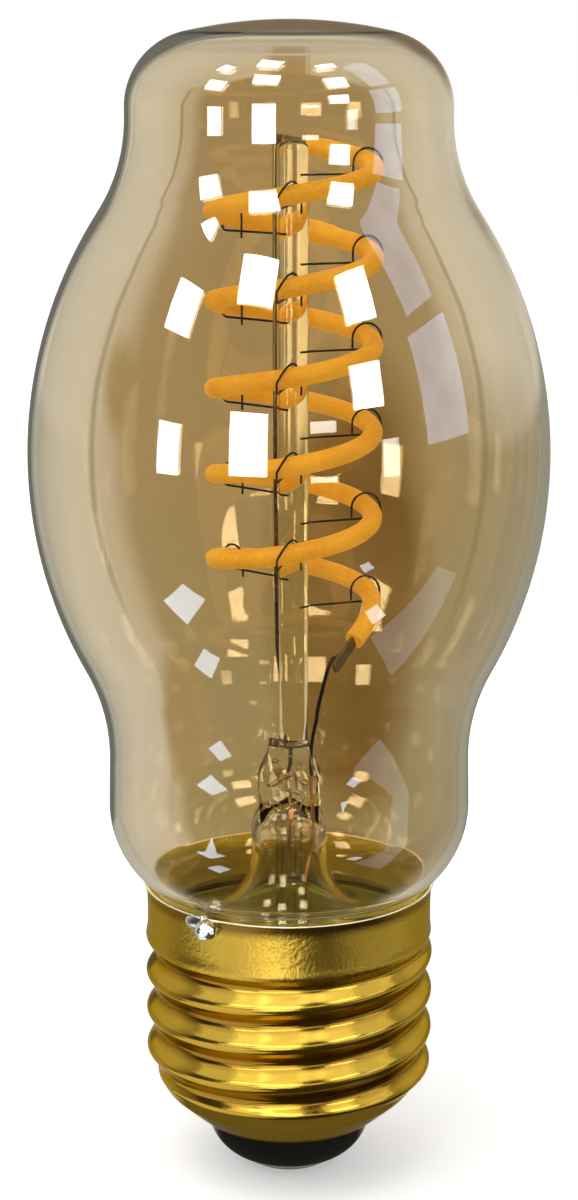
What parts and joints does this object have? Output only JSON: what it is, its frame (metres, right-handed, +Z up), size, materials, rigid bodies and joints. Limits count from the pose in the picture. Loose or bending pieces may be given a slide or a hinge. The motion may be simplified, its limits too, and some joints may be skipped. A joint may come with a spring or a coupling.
{
  "type": "led filament bulb",
  "caption": "Screw-cap lamp with an amber blown glass bulb and a spiral light-emitting filament hung by wire hooks on a glass stem.",
  "frame": {"origin": "centre of the bottom contact's face, the lowest point on the lamp's axis", "axes": "+Z up the lamp's axis from the contact to the top of the bulb, -Y towards the viewer of the picture, +X to the viewer's right"},
  "size_m": [0.0456, 0.0456, 0.1033],
  "materials": {
    "amber_glass": "clear amber-tinted blown glass, polished",
    "clear_glass": "clear drawn glass, polished",
    "hook_steel": "thin dark drawn wire",
    "filament_coat": "orange-yellow translucent coating with a fine grain",
    "tab_steel": "bare plated strip",
    "lead_nickel": "dull dark nickel wire",
    "seal_copper": "copper-clad sealing wire, reddish in the glass",
    "lead_copper": "darkened copper wire",
    "shell_brass": "rolled brass sheet, satin with fine grain",
    "cement": "set basing cement",
    "solder": "bright smooth solder",
    "rim_wire_tin": "thin tinned wire",
    "insulator_black": "black moulded insulator, glossy",
    "contact_brass": "stamped brass, smooth",
    "liner_plastic": "off-white insulating tube",
    "board_green": "solder-masked circuit board",
    "chip_black": "moulded black package",
    "capacitor_sleeve": "shrink sleeve",
    "resistor_coat": "lacquered body"
  },
  "bodies": {
    "root": {"bulb_glass": "amber_glass", "stem_flare": "clear_glass", "exhaust_tube": "clear_glass", "support_rod": "clear_glass", "hooks_right": "hook_steel", "hooks_front": "hook_steel", "hooks_left": "hook_steel", "led_filament": "filament_coat", "filament_tab_upper": "tab_steel", "filament_tab_lower": "tab_steel", "lead_wire_upper": "lead_nickel", "lead_wire_lower": "lead_nickel", "seal_wire_left": "seal_copper", "seal_wire_right": "seal_copper", "outer_lead_left": "lead_copper", "outer_lead_right": "lead_copper", "cap_shell": "shell_brass", "cap_cement": "cement", "rim_solder": "solder", "rim_wire": "rim_wire_tin", "cap_insulator": "insulator_black", "centre_contact": "contact_brass", "contact_solder": "solder", "insulating_liner": "liner_plastic", "driver_board": "board_green", "bridge_rectifier": "chip_black", "driver_chip": "chip_black", "sense_resistors": "chip_black", "capacitor": "capacitor_sleeve", "fusible_resistor": "resistor_coat"}
  },
  "joints": []
}
